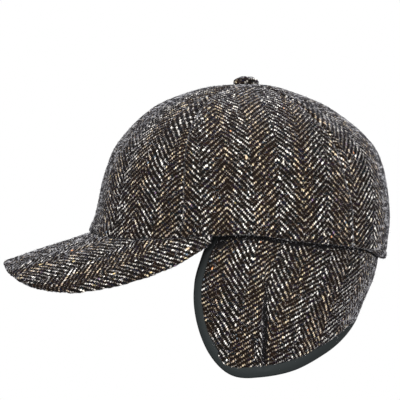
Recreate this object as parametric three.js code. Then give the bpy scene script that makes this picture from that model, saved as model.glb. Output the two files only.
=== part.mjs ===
// A tweed baseball cap with earflaps, in millimetres.
// The peak points to -X, the wearer's left side is -Y and Z is up. The origin is the middle of the head
// opening at the height of the hem. An azimuth is in degrees round the button's axis, from 0 at the
// middle of the front, past 90 on the wearer's left and 180 at the nape, to 270 on the right.

import * as THREE from 'three';

const BUTTON_AXIS_X = 5;       // the six panels meet just behind the middle of the head
const CLOTH = 2.6;             // wall of a crown panel: tweed and its backing
const GAP = 0.3;               // clearance between neighbouring pieces
const SEAM_DEPTH = 0.9;        // valley at a seam between panels
const SEAM_WIDTH = 1.8;        // half width of that valley
const SEAM_BAND = 3;           // the cloth rises out of that valley over this width
const PANEL_STEP = 13;         // spacing of a crown panel's columns at the hem
const PANEL_ROWS = 12;         // and the number of its rows above the hem
const PANEL_TIP_RADIUS = 3.6;  // the panels stop this far from the button's axis
const HEM_WALL = 3.7;          // depth of the rolled hem from outside to inside
const PEAK_THICKNESS = 4.5;
const PEAK_END_THICKNESS = 2.4;
const PEAK_BELOW_HEM = 0.7;    // clearance under the hem's rounded edge
const PEAK_COLUMNS = 38;
const FLAP_CLOTH = 2.6;        // wall of the earflap
const FLAP_TUCK = 8;           // height of the earflap's root inside the hem
const FLAP_BEHIND_HEM = 0.6;   // clearance between the rolled hem and the earflap's outside
const FLAP_ROWS = 11;
const DART_X = 18;             // the dart is a vertical valley under the ear
const DART_TOP_Z = -30;
const DART_FOOT_Z = -87;       // it runs out just above the binding
const DART_TOP_FADE = 14;      // height over which it reaches its full depth
const DART_FOOT_FADE = 8;
const DART_DEPTH = 1.3;
const DART_WIDTH = 3;
const TAPE = 0.8;              // thickness of the binding's tape
const TAPE_BELOW_HEM = 0.6;
const TAPE_COLUMNS = 64;
const BUTTON_RADIUS = 8.7;
const BUTTON_HEIGHT = 4.6;
const BUTTON_SEGMENTS = 24;
const SHANK_RADIUS = 2.8;
const SHANK_LENGTH = 4;

// The outside of the cap at each height, as its reach from the button's axis to the front, to the side
// and to the back. Below the hem the earflap follows the same form, set in from it by the hem's depth.
const BODY = [
  { z: -98, front: 104, side: 73, back: 72 },
  { z: -80, front: 106, side: 76, back: 76 },
  { z: -65, front: 108, side: 78.3, back: 79.5 },
  { z: -50, front: 109, side: 80, back: 85.4 },
  { z: -30, front: 110, side: 81.6, back: 93.6 },
  { z: -14, front: 110.5, side: 82.6, back: 97.8 },
  { z: 0, front: 112.2, side: 84, back: 100.2 },
  { z: 14, front: 107.9, side: 85.6, back: 101.8 },
  { z: 28, front: 104.9, side: 86, back: 101.4 },
  { z: 41, front: 102.3, side: 85, back: 99.7 },
  { z: 53, front: 98.4, side: 82.3, back: 96.8 },
  { z: 65, front: 93.3, side: 77.2, back: 91.6 },
  { z: 77, front: 84.3, side: 68.6, back: 81.3 },
  { z: 88, front: 73, side: 57, back: 67.9 },
  { z: 97, front: 60.3, side: 44.8, back: 53.6 },
  { z: 104, front: 44, side: 31, back: 36.5 },
  { z: 109, front: 24.5, side: 16.8, back: 19.5 },
  { z: 111.3, front: 0, side: 0, back: 0 },
];

// The hem's lower edge: level over the peak, lifted over the ear and low at the nape.
const HEM = [
  { azimuth: 0, z: 6.2 },
  { azimuth: 10, z: 5.8 },
  { azimuth: 28, z: 2.9 },
  { azimuth: 56, z: 1.5 },
  { azimuth: 84, z: 4.4 },
  { azimuth: 96, z: 3.7 },
  { azimuth: 110, z: 0 },
  { azimuth: 138, z: -4.3 },
  { azimuth: 160, z: -9.9 },
  { azimuth: 172, z: -12.5 },
  { azimuth: 180, z: -13 },
];

// The rolled hem from its lower edge up: how far its outside and its inside are set in from the body.
const HEM_SECTION = [
  { height: 0, outside: 0.9, inside: 3.2 },
  { height: 1.2, outside: 0.1, inside: HEM_WALL },
  { height: 4.5, outside: -0.5, inside: HEM_WALL },
  { height: 8.5, outside: -0.1, inside: HEM_WALL },
  { height: 12, outside: 0.4, inside: 3 },
  { height: 16, outside: 0, inside: CLOTH },
];

// Where the side panel's two seams run, as azimuths at each height.
const SEAMS = [
  { z: -14, front: 65.8, back: 138 },
  { z: 20, front: 65, back: 137.3 },
  { z: 50, front: 63.5, back: 133.8 },
  { z: 85, front: 60.8, back: 132.5 },
  { z: 112, front: 60, back: 128 },
];

// Soft hollows in the cloth: behind the back seam and just above the hem below it.
const HOLLOWS = [
  { azimuth: 141, z: 48, spread: 7, height: 18, depth: 1.8 },
  { azimuth: 140, z: 12, spread: 5, height: 5, depth: 1 },
];

// The edge of the peak's upper face, from the middle of the front to its left end. Each straight line
// of that face runs back from it to the hem, at the azimuth seat and set in from the body by inset.
const PEAK_RIM = [
  { seat: 0, inset: 1.6, x: -167.2, y: 0, z: -15 },
  { seat: 14, inset: 1.6, x: -163.8, y: 27.5, z: -19.6 },
  { seat: 24, inset: 1.6, x: -155.3, y: 45, z: -25.6 },
  { seat: 34, inset: 1.5, x: -142, y: 59.5, z: -31.2 },
  { seat: 44, inset: 1.3, x: -119.5, y: 71, z: -34.1 },
  { seat: 51, inset: 0.9, x: -102.5, y: 77, z: -32.3 },
  { seat: 57, inset: 0.7, x: -85, y: 81.5, z: -29 },
  { seat: 62.5, inset: 0.6, x: -68.5, y: 84, z: -24.4 },
  { seat: 67, inset: 0.5, x: -53, y: 85, z: -19.2 },
  { seat: 71, inset: 0.5, x: -39.5, y: 85, z: -13.3 },
  { seat: 74.5, inset: 0.5, x: -27, y: 83, z: -6.4 },
  { seat: 77, inset: 0.5, x: -20.7, y: 82, z: -0.8 },
];

// The earflap's free edge, from inside the hem before the ear, round under the ear to the nape. The
// last row lies past the nape and only rounds the curve there.
const FLAP_EDGE = [
  { azimuth: 79, z: 11.5 },
  { azimuth: 77.3, z: 4.4 },
  { azimuth: 72.5, z: -14 },
  { azimuth: 69.4, z: -34.4 },
  { azimuth: 70.4, z: -57 },
  { azimuth: 75.2, z: -79.5 },
  { azimuth: 83.8, z: -93.8 },
  { azimuth: 96.5, z: -95.3 },
  { azimuth: 118, z: -91 },
  { azimuth: 140, z: -80.1 },
  { azimuth: 154, z: -72.3 },
  { azimuth: 168, z: -64.6 },
  { azimuth: 180, z: -59 },
  { azimuth: 192, z: -64.6 },
];
const CHIN_ROW = 5.6;                       // where the front edge turns into the lower edge
const NAPE_ROW = FLAP_EDGE.length - 2;

// Width of the binding on the outside of the earflap, along that edge.
const BINDING_WIDTH = [
  { row: 0, width: 6.4 },
  { row: 4, width: 6.6 },
  { row: 7, width: 8.2 },
  { row: 13, width: 8 },
];

const TWEED = { color: 0x3a3531, roughness: 0.95, metalness: 0 };
const PEAK_TWEED = { color: 0x3e3934, roughness: 0.95, metalness: 0 };
const TAPE_CLOTH = { color: 0x2d3436, roughness: 0.8, metalness: 0 };

const { degToRad, lerp, smoothstep } = THREE.MathUtils;

// The values of a table at a fractional row, on a smooth curve through its rows.
function between(rows, place) {
  const last = rows.length - 1;
  const first = Math.min(Math.max(Math.floor(place), 0), last - 1);
  const t = place - first;
  const result = {};
  for (const name of Object.keys(rows[0])) {
    const value = (row) => {
      if (row < 0) return 2 * rows[0][name] - rows[1][name];
      if (row > last) return 2 * rows[last][name] - rows[last - 1][name];
      return rows[row][name];
    };
    const [a, b, c, d] = [-1, 0, 1, 2].map((step) => value(first + step));
    const bend = (2 * a - 5 * b + 4 * c - d) * t * t + (3 * b - a - 3 * c + d) * t * t * t;
    result[name] = b + 0.5 * ((c - a) * t + bend);
  }
  return result;
}

// The fractional row at which a rising column of a table reaches a value.
function placeOf(rows, name, value) {
  let low = 0;
  let high = rows.length - 1;
  for (let halving = 0; halving < 30; halving += 1) {
    const middle = (low + high) / 2;
    if (between(rows, middle)[name] < value) low = middle;
    else high = middle;
  }
  return (low + high) / 2;
}

const lookUp = (rows, name, value) => between(rows, placeOf(rows, name, value));
const foldToLeft = (azimuth) => (azimuth > 180 ? 360 - azimuth : Math.abs(azimuth));
const hemHeight = (azimuth) => lookUp(HEM, 'azimuth', foldToLeft(azimuth)).z;

// A point of the body's outside.
function bodyPoint(azimuth, place) {
  const level = between(BODY, place);
  const turn = degToRad(azimuth);
  const reach = Math.cos(turn) > 0 ? level.front : level.back;
  return new THREE.Vector3(BUTTON_AXIS_X - reach * Math.cos(turn), -level.side * Math.sin(turn), level.z);
}

// How far the body's surface runs round per degree and up per row, there.
function bodySteps(azimuth, place) {
  const halfDegree = 0.5;
  const halfRow = 0.01;
  const round = bodyPoint(azimuth + halfDegree, place).sub(bodyPoint(azimuth - halfDegree, place));
  const up = bodyPoint(azimuth, place + halfRow).sub(bodyPoint(azimuth, place - halfRow));
  return { round, up: up.divideScalar(2 * halfRow) };
}

// A point set in from the body along its normal.
function insetPoint(azimuth, place, inset) {
  const steps = bodySteps(azimuth, place);
  const normal = steps.round.cross(steps.up).normalize();
  return bodyPoint(azimuth, place).addScaledVector(normal, -inset);
}

// A closed wall between two grids of points, each an array of rows.
function wallGeometry(outer, inner) {
  const rows = outer.length;
  const columns = outer[0].length;
  const faces = [];
  const out = (row, column) => row * columns + column;
  const back = (row, column) => (rows + row) * columns + column;
  const quad = (a, b, c, d) => faces.push([a, b, c], [a, c, d]);
  for (let r = 0; r + 1 < rows; r += 1) {
    for (let c = 0; c + 1 < columns; c += 1) {
      quad(out(r, c), out(r, c + 1), out(r + 1, c + 1), out(r + 1, c));
      quad(back(r, c), back(r + 1, c), back(r + 1, c + 1), back(r, c + 1));
    }
    quad(out(r, 0), out(r + 1, 0), back(r + 1, 0), back(r, 0));
    quad(out(r + 1, columns - 1), out(r, columns - 1), back(r, columns - 1), back(r + 1, columns - 1));
  }
  for (let c = 0; c + 1 < columns; c += 1) {
    quad(out(0, c + 1), out(0, c), back(0, c), back(0, c + 1));
    quad(out(rows - 1, c), out(rows - 1, c + 1), back(rows - 1, c + 1), back(rows - 1, c));
  }
  const points = [...outer.flat(), ...inner.flat()];
  const volume = faces.reduce((sum, [a, b, c]) => sum + points[a].dot(points[b].clone().cross(points[c])), 0);
  const geometry = new THREE.BufferGeometry().setFromPoints(points);
  geometry.setIndex(faces.flatMap(([a, b, c]) => (volume > 0 ? [a, b, c] : [a, c, b])));
  geometry.computeVertexNormals();
  return geometry;
}

function addPiece(group, name, geometry, finish) {
  const mesh = new THREE.Mesh(geometry, new THREE.MeshStandardMaterial(finish));
  mesh.name = name;
  group.add(mesh);
}

const grid = (rowPlaces, columnPlaces, point) =>
  rowPlaces.map((row) => columnPlaces.map((column) => point(column, row)));
const evenly = (count, from = 0, to = 1) =>
  Array.from({ length: count + 1 }, (_, i) => lerp(from, to, i / count));

// How far the soft hollows set the cloth in.
function hollowDepth(azimuth, z) {
  const depths = HOLLOWS.map((hollow) => {
    const aside = (foldToLeft(azimuth) - hollow.azimuth) / hollow.spread;
    const above = (z - hollow.z) / hollow.height;
    return hollow.depth * Math.exp(-aside * aside - above * above);
  });
  return depths.reduce((sum, depth) => sum + depth, 0);
}

// A crown panel between two seams. Its rows follow the rolled hem and then run up to the button, and
// its columns lie closer at the seams, where the cloth dips.
function crownPanel(seamFrom, seamTo, side) {
  const width = (seamTo(0) - seamFrom(0)) * bodySteps(seamTo(0), placeOf(BODY, 'z', 0)).round.length();
  const band = SEAM_BAND / width;
  const fill = Math.round(width / PANEL_STEP);
  const columns = [0, band, ...evenly(fill, 3 * band, 1 - 3 * band), 1 - band, 1];
  const topOfHem = HEM_SECTION[HEM_SECTION.length - 1];
  const upperRows = evenly(PANEL_ROWS).slice(1).map((share) => ({ ...topOfHem, share }));
  const rows = [...HEM_SECTION.map((row) => ({ ...row, share: 0 })), ...upperRows];
  const tipPlace = BODY.length - 1 - PANEL_TIP_RADIUS / BODY[BODY.length - 2].side;

  const point = (layer) => (across, row) => {
    const hem = hemHeight(lerp(seamFrom(0), seamTo(0), across));
    const place = lerp(placeOf(BODY, 'z', hem + row.height), tipPlace, row.share);
    const { z } = between(BODY, place);
    const from = seamFrom(z);
    const to = seamTo(z);
    const perDegree = bodySteps((from + to) / 2, place).round.length();
    const clear = GAP / 2 / perDegree;
    const azimuth = lerp(from + clear, to - clear, across);
    const toSeam = Math.min(azimuth - from, to - azimuth) * perDegree;
    const valley = SEAM_DEPTH * Math.exp(-((toSeam / SEAM_WIDTH) ** 2));
    const inset = layer === 'outside' ? row.outside + valley : row.inside;
    return insetPoint(side > 0 ? 360 - azimuth : azimuth, place, inset + hollowDepth(azimuth, z));
  };
  return wallGeometry(grid(rows, columns, point('outside')), grid(rows, columns, point('inside')));
}

// The peak is a stiff plate whose upper face is made of straight lines. Its rim is rounded.
function peakGeometry() {
  const half = PEAK_RIM.slice(1).reverse();
  const rim = [...half.map((row) => ({ ...row, seat: -row.seat, y: -row.y })), ...PEAK_RIM];
  const columns = evenly(PEAK_COLUMNS, 0, rim.length - 1);
  const roundedFrom = 0.95;
  const roundness = 0.97;        // 1 would close the rim to a sharp edge
  const rows = [...evenly(5, 0, roundedFrom), lerp(roundedFrom, 1, 0.7), 1];
  const thinnerFrom = 0.6;       // from this share of the way to each end

  const upperFace = (column, out) => {
    const row = between(rim, column);
    const hem = hemHeight(row.seat);
    const seat = insetPoint(-row.seat, placeOf(BODY, 'z', hem), row.inset);
    seat.z = hem - PEAK_BELOW_HEM;
    return seat.lerp(new THREE.Vector3(row.x, row.y, row.z), out);
  };
  const layer = (isUnder) => (column, out) => {
    const step = 0.02;
    const along = upperFace(column + step, out).sub(upperFace(column - step, out));
    const outward = upperFace(column, out + step).sub(upperFace(column, out - step));
    const toEnd = Math.abs(column / (rim.length - 1) - 0.5) * 2;
    const thickness = lerp(PEAK_THICKNESS, PEAK_END_THICKNESS, smoothstep(toEnd, thinnerFrom, 1));
    const past = Math.max(out - roundedFrom, 0) / (1 - roundedFrom);
    const rounding = (1 - Math.sqrt(1 - (roundness * past) ** 2)) / 2;
    const depth = thickness * (isUnder ? 1 - rounding : rounding);
    return upperFace(column, out).addScaledVector(along.cross(outward).normalize(), -depth);
  };
  return wallGeometry(grid(rows, columns, layer(false)), grid(rows, columns, layer(true)));
}

// How far the dart sets the earflap's cloth in.
function dartDepth(azimuth, place) {
  const { x, z } = bodyPoint(azimuth, place);
  const belowTop = 1 - smoothstep(z, DART_TOP_Z - DART_TOP_FADE, DART_TOP_Z);
  const aboveFoot = smoothstep(z, DART_FOOT_Z, DART_FOOT_Z + DART_FOOT_FADE);
  return DART_DEPTH * belowTop * aboveFoot * Math.exp(-(((x - DART_X) / DART_WIDTH) ** 2));
}

// A point of the earflap, set in from its outside, at an azimuth and height of the body.
function flapPoint({ azimuth, z }, inset) {
  const place = placeOf(BODY, 'z', z);
  return insetPoint(azimuth, place, HEM_WALL + FLAP_BEHIND_HEM + dartDepth(azimuth, place) + inset);
}

// The azimuth and height that lie a distance in from the earflap's free edge, at a row of its table.
function insideFlapEdge(row, distance) {
  const step = 0.05;
  const here = between(FLAP_EDGE, row);
  const before = between(FLAP_EDGE, row - step);
  const after = between(FLAP_EDGE, row + step);
  const place = placeOf(BODY, 'z', here.z);
  const steps = bodySteps(here.azimuth, place);
  const perDegree = steps.round.length();
  const perHeight = steps.up.length() / Math.abs(steps.up.z);
  const round = (after.azimuth - before.azimuth) * perDegree;
  const up = (after.z - before.z) * perHeight;
  const length = Math.hypot(round, up);
  return {
    azimuth: here.azimuth - ((up / length) * distance) / perDegree,
    z: here.z + ((round / length) * distance) / perHeight,
  };
}

const mix = (a, b, share) => ({ azimuth: lerp(a.azimuth, b.azimuth, share), z: lerp(a.z, b.z, share) });

// The earflap, patched between its root inside the hem, its front edge, its lower edge and the nape.
// Its columns lie closer over the dart.
function earflapGeometry() {
  const edgeInset = TAPE + FLAP_CLOTH / 2 + GAP;
  const root = (across) => {
    const azimuth = lerp(insideFlapEdge(0, edgeInset).azimuth, 180, across);
    return { azimuth, z: hemHeight(azimuth) + FLAP_TUCK };
  };
  const front = (down) => insideFlapEdge(CHIN_ROW * down, edgeInset);
  const lower = (across) => insideFlapEdge(lerp(CHIN_ROW, NAPE_ROW, across), edgeInset);
  const nape = (down) => mix(root(1), lower(1), down);

  const place = (across, down) => {
    const side = across > 1 ? 2 - across : across;
    const up = mix(root(side), lower(side), down);
    const along = mix(front(down), nape(down), side);
    const corners = mix(mix(root(0), root(1), side), mix(lower(0), lower(1), side), down);
    const azimuth = up.azimuth + along.azimuth - corners.azimuth;
    return { azimuth: across > 1 ? 360 - azimuth : azimuth, z: up.z + along.z - corners.z };
  };
  const dart = { from: 0.14, to: 0.32, columns: 11 };
  const overDart = evenly(dart.columns, dart.from, dart.to);
  const half = [...evenly(3, 0, dart.from).slice(0, -1), ...overDart, ...evenly(15, dart.to, 1).slice(1)];
  const columns = [...half, ...half.slice(0, -1).reverse().map((across) => 2 - across)];
  const rows = evenly(FLAP_ROWS);
  const layer = (inset) => grid(rows, columns, (across, down) => flapPoint(place(across, down), inset));
  return wallGeometry(layer(0), layer(FLAP_CLOTH));
}

// The binding is a tape folded round the earflap's edge. Its section is two legs and a half round.
function bindingGeometry() {
  const startZ = hemHeight(FLAP_EDGE[1].azimuth) - TAPE_BELOW_HEM;
  const step = 0.01;
  let start = 0;
  while (between(FLAP_EDGE, start).z > startZ) start += step;
  const foldRadius = TAPE + GAP + FLAP_CLOTH / 2;
  const turns = evenly(4, 0, Math.PI);
  const section = [{ leg: true, turn: 0 }, ...turns.map((turn) => ({ turn })), { leg: true, turn: Math.PI }];
  const columns = evenly(TAPE_COLUMNS, 0, 2);

  const layer = (radius) => grid(section, columns, (along, { leg, turn }) => {
    const row = lerp(start, NAPE_ROW, along > 1 ? 2 - along : along);
    const width = lookUp(BINDING_WIDTH, 'row', row).width;
    const distance = leg ? width : foldRadius - radius * Math.sin(turn);
    const { azimuth, z } = insideFlapEdge(row, distance);
    const inset = FLAP_CLOTH / 2 - radius * Math.cos(turn);
    return flapPoint({ azimuth: along > 1 ? 360 - azimuth : azimuth, z }, inset);
  });
  return wallGeometry(layer(foldRadius), layer(foldRadius - TAPE));
}

// The covered button: a flat-topped dome on a short shank that goes down between the panels' tips.
function buttonGeometry() {
  const profile = [
    [0, -SHANK_LENGTH],
    [SHANK_RADIUS, -SHANK_LENGTH],
    [SHANK_RADIUS, 0],
    [BUTTON_RADIUS - 1, -0.1],
    [BUTTON_RADIUS - 0.2, 0.3],
    [BUTTON_RADIUS, 1.1],
    [BUTTON_RADIUS - 0.8, 2.5],
    [BUTTON_RADIUS - 2.7, 3.7],
    [BUTTON_RADIUS - 5.2, BUTTON_HEIGHT - 0.2],
    [0, BUTTON_HEIGHT],
  ];
  const geometry = new THREE.LatheGeometry(profile.map(([x, y]) => new THREE.Vector2(x, y)), BUTTON_SEGMENTS);
  geometry.rotateX(Math.PI / 2);
  geometry.translate(BUTTON_AXIS_X, 0, BODY[BODY.length - 1].z + GAP);
  return geometry;
}

const cap = new THREE.Group();

const centreFront = () => 0;
const frontSeam = (z) => lookUp(SEAMS, 'z', z).front;
const backSeam = (z) => lookUp(SEAMS, 'z', z).back;
const centreBack = () => 180;
const PANELS = [
  { name: 'crown_front', from: centreFront, to: frontSeam },
  { name: 'crown_side', from: frontSeam, to: backSeam },
  { name: 'crown_back', from: backSeam, to: centreBack },
];
for (const { name, from, to } of PANELS) {
  addPiece(cap, `${name}_left`, crownPanel(from, to, -1), TWEED);
  addPiece(cap, `${name}_right`, crownPanel(from, to, 1), TWEED);
}
addPiece(cap, 'top_button', buttonGeometry(), TWEED);
addPiece(cap, 'peak', peakGeometry(), PEAK_TWEED);
addPiece(cap, 'earflap', earflapGeometry(), TWEED);
addPiece(cap, 'flap_binding', bindingGeometry(), TAPE_CLOTH);

export default cap;
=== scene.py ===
# A tweed baseball cap with earflaps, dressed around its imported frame, in metres: the peak towards -X,
# the wearer's left towards -Y and the covered button on top.
import math

import bpy
import numpy as np
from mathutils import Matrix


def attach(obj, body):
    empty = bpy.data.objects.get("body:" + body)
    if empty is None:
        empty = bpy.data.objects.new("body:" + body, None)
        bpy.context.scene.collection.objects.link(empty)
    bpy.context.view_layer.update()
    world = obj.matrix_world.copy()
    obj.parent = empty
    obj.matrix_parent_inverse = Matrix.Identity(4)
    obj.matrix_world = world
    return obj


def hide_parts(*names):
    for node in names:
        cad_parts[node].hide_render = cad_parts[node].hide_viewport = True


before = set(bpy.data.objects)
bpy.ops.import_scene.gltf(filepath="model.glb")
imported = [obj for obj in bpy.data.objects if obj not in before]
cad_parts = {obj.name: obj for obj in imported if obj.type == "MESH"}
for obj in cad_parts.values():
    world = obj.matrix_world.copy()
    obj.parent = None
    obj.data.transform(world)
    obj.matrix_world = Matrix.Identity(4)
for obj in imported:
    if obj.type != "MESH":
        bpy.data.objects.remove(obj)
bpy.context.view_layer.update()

# Camera: a long lens 2.5 m away looks level at the wearer's left side, as for a product photograph.
# The cap is seen whole, a little behind the middle of the picture.
VIEW_DISTANCE = 2.5
VIEW_WIDTH = 0.284  # what the picture takes in at the cap's middle
VIEW_X, VIEW_Z = -0.0277, 0.0284
SENSOR_MM = 36
VIEW_ENDS = 100  # nothing further away is drawn

bpy.ops.object.camera_add(location=(VIEW_X, -VIEW_DISTANCE, VIEW_Z), rotation=(math.pi / 2, 0, 0))
camera = bpy.context.object
camera.data.sensor_width = SENSOR_MM
camera.data.lens = SENSOR_MM * VIEW_DISTANCE / VIEW_WIDTH
camera.data.clip_end = VIEW_ENDS
bpy.context.scene.camera = camera

# Crown: six gores of backed tweed, seamed from the hem to the button with the grain along each gore.
# Their lower edge is rolled to the inside over a soft padding, which gives the thick hem.
MM = 0.001
BUTTON_AXIS_X = 5 * MM
CLOTH = 2.6 * MM
HEM_WALL = 3.7 * MM
SEAM_DEPTH = 1.5 * MM
SEAM_WIDTH = 1.5 * MM
SEAM_CLEAR = 0.04 * MM
TIP_RADIUS = 3.6 * MM  # of the hole that the gores leave under the button
FINE = 0.8 * MM  # spacing of the points that carry the weave
COARSE = 4 * MM  # spacing of the points inside
WIDENS = 1.1  # how much wider a gore gets than it is at the hem
YARN = 1.06 * MM  # the cloth's coordinates count its yarns, across the warp and along it
WALE = 4  # picks from one twill line to the next
COLUMN = 17  # warp yarns from one reversal of the herringbone to the next
STRIPE = 27.2  # warp yarns from one warm stripe to the next: 5 stripes are as wide as 8 columns
RELIEF = 0.5 * MM  # from the crevices of the weave to the tops of its twill lines
SWELL = 0.3 * MM  # the cloth's soft rise and fall, over that length
SWELL_LENGTH = 35 * MM
WHITE = (1, 1, 1, 1)
# The warp's wools
OFF_WHITE = (0.93, 0.895, 0.84, 1)
TANS = [(0.68, 0.57, 0.37, 1), (0.55, 0.42, 0.32, 1)]
ODD_WARPS = [(0.42, 0.20, 0.10, 1), (0.50, 0.42, 0.17, 1), (0.20, 0.27, 0.34, 1), (0.20, 0.13, 0.22, 1)]
ODD_FLOATS = 0.018  # the share of the warp's floats that is of an odd wool
SUNK_WARP = (0.041, 0.031, 0.023, 1)
# The weft's wools, and those of the thick spots
BROWN_WEFTS = [(0.0045, 0.0033, 0.0023, 1), (0.0125, 0.0088, 0.0062, 1)]
STRIPE_WEFT = (0.016, 0.008, 0.0045, 1)
DYED_WEFTS = [
    (0.010, 0.012, 0.028, 1), (0.020, 0.011, 0.024, 1), (0.008, 0.018, 0.022, 1), (0.034, 0.017, 0.009, 1)]
SLUBS = [(0.60, 0.27, 0.12, 1), (0.66, 0.50, 0.22, 1), (0.72, 0.64, 0.52, 1), (0.55, 0.40, 0.26, 1)]
CREVICE_SHADE = (0.24, 0.23, 0.23, 1)  # painted shade: what is left of a colour between the yarns
WAVER = (0.6, 0.9, 0.0)  # how far the yarns run out of line, across and along
SHEEN_TINT = (0.80, 0.78, 0.89, 1)
TUFTS_LIE = [(0.08, 0.42, 0.0), (0.42, 0.08, 0.0)]  # tufts of loose hair, long one way and short the other
# The speckled grey over the cloth seen along it: loose hairs in tufts, and painted sheen
HAIR_HAZE_AND_SHEEN = [(0.012, 0.012, 0.015, 1), (0.43, 0.43, 0.455, 1)]
HAIR_HAZE_AND_SHEEN_FACING = (0.45, 0.82)  # from where to where it grows as the cloth turns away
HAIR_HAZE_AND_SHEEN_MOST = 0.8
# The lining cloth's near-blacks, also laid on the earflap's outside as painted shade in the slot and along
# the dart and tuck
LINING_AND_SHADE_BLACKS = [(0.0025, 0.0023, 0.0024, 1), (0.010, 0.009, 0.009, 1)]

# Outside of the body: height, then reach from the button's axis to the front, to the side and to the
# back, up to the point where it would close
BODY = MM * np.array([
    (-98, 104, 73, 72),
    (-80, 106, 76, 76),
    (-65, 108, 78.3, 79.5),
    (-50, 109, 80, 85.4),
    (-30, 110, 81.6, 93.6),
    (-14, 110.5, 82.6, 97.8),
    (0, 112.2, 84, 100.2),
    (14, 107.9, 85.6, 101.8),
    (28, 104.9, 86, 101.4),
    (41, 102.3, 85, 99.7),
    (53, 98.4, 82.3, 96.8),
    (65, 93.3, 77.2, 91.6),
    (77, 84.3, 68.6, 81.3),
    (88, 73, 57, 67.9),
    (97, 60.3, 44.8, 53.6),
    (104, 44, 31, 36.5),
    (109, 24.5, 16.8, 19.5),
    (111.3, 0, 0, 0),
])
# The hem's lower edge: azimuth in degrees, height in millimetres
HEM = np.array([
    (0, 6.2), (10, 5.8), (28, 2.9), (56, 1.5), (84, 4.4), (96, 3.7),
    (110, 0), (138, -4.3), (150, -6.6), (158, -9.6), (165, -12), (172, -12.8), (180, -13),
])
# The cloth's way round the hem, from its turned-up end inside: height above the edge, depth from the body
HEM_ROLL = MM * np.array([
    (14, 3.3), (8, 3.6), (3, 3.7), (1, 3.4), (0, 2.6), (-0.2, 1.4), (-0.15, 0.2),
    (0.35, -0.65), (1.6, -1), (4.4, -0.9), (8, -0.35), (12, 0), (16, 0),
])
# The side gore's seams: height in millimetres, azimuth of the front seam and of the back seam
SEAMS = np.array([(-14, 65.8, 138), (20, 65, 137.3), (50, 63.5, 133.8), (85, 60.8, 132.5), (112, 60, 128)])
# At the nape a level crease nips off the hem's roll from the crown above it: azimuth, depth in millimetres
LIP_CREASE = np.array([(148, 0), (153, 2.2), (162, 3.2), (169, 1.6), (180, 0.9)])
LIP_Z = -7.4 * MM
LIP_CREASE_WIDTH = 0.9 * MM
# Soft hollows beside the back seam: azimuth, height, spread round and up, depth
HOLLOWS = [
    (141, 48 * MM, 7, 18 * MM, 1.9 * MM),
    (140, 12 * MM, 5, 5 * MM, 1.2 * MM),
]


def smooth(rows, place):
    """A table's values at fractional rows, on a smooth curve through its rows."""
    beyond_ends = 2 * rows[[0, -1]] - rows[[1, -2]]
    longer = np.vstack([beyond_ends[:1], rows, beyond_ends[1:]])
    place = np.asarray(place, float)
    first = np.clip(np.floor(place), 0, len(rows) - 2).astype(int)
    t = (place - first)[..., None]
    a, b, c, d = (longer[first + step] for step in range(4))
    bend = (2 * a - 5 * b + 4 * c - d) * t**2 + (3 * b - a - 3 * c + d) * t**3
    return b + 0.5 * ((c - a) * t + bend)


def row_where(rows, value):
    """The fractional row at which a table's first column, which rises, reaches a value."""
    samples = 4001
    places = np.linspace(0, len(rows) - 1, samples)
    return np.interp(value, smooth(rows, places)[:, 0], places)


def hem_height(azimuth):
    """The height of the hem's lower edge, alike on both sides."""
    folded = np.where(azimuth > 180, 360 - azimuth, np.abs(azimuth))
    return MM * smooth(HEM, row_where(HEM, folded))[..., 1]


def body_point(azimuth, level):
    """Points of the body's outside at azimuths from the front and at rows of its table."""
    height, front, side, back = np.moveaxis(smooth(BODY, level), -1, 0)
    turn = np.radians(azimuth)
    reach = np.where(np.cos(turn) > 0, front, back)
    return np.stack([BUTTON_AXIS_X - reach * np.cos(turn), -side * np.sin(turn), height], -1)


def body_steps(azimuth, level):
    """How the body runs round per degree and up per row of its table."""
    degree, row = 1.0, 0.02
    round_it = body_point(azimuth + degree / 2, level) - body_point(azimuth - degree / 2, level)
    up_it = body_point(azimuth, level + row / 2) - body_point(azimuth, level - row / 2)
    return round_it / degree, up_it / row


def length_of(vectors):
    return np.linalg.norm(vectors, axis=-1)


def set_in(azimuth, level, depth):
    """Points set in from the body along its normal."""
    outward = np.cross(*body_steps(azimuth, level))
    return body_point(azimuth, level) - outward * (depth / length_of(outward))[..., None]


def run_along(points):
    """The length of a line of points from its start to each of them."""
    return np.concatenate([[0], np.cumsum(length_of(np.diff(points, axis=0)))])


def evenly_along(rows, step):
    """The fractional rows of a curve's table that lie about one step apart along it."""
    samples = 2001
    places = np.linspace(0, len(rows) - 1, samples)
    run = run_along(smooth(rows, places))
    return np.interp(np.linspace(0, run[-1], round(run[-1] / step) + 1), run, places)


def swell(points, length, seed):
    """A soft random rise and fall, from about -1 to 1, over about that length."""
    draw = np.random.default_rng(seed)
    waves = 8
    shortest, longest = 0.6, 1.5  # of their rates
    total = 0
    for _ in range(waves):
        wave = draw.normal(size=points.shape[-1])
        wave *= 2 * np.pi * draw.uniform(shortest, longest) / length / np.linalg.norm(wave)
        total = total + np.sin(points @ wave + draw.uniform(0, 2 * np.pi))
    return total / (waves / 2)


def hand_woven(yarns, seed):
    """The cloth's coordinates with the slight drift of its yarns."""
    most, length_across, length_along = 0.45, 45, 30  # in yarns
    drift = np.stack([swell(yarns, length_across, seed), swell(yarns, length_along, seed + 1)], -1)
    return yarns + most * drift


def normals_of(surface):
    outward = np.cross(np.gradient(surface, axis=1), np.gradient(surface, axis=0))
    return outward / np.maximum(length_of(outward), 1e-12)[..., None]


def twill_line(across, along):
    """1 on top of the herringbone's twill lines and -1 between them."""
    climb = COLUMN - np.abs((across - 0.5) % (2 * COLUMN) - COLUMN)
    return np.cos(2 * np.pi * (along - climb - 1) / WALE)


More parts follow.
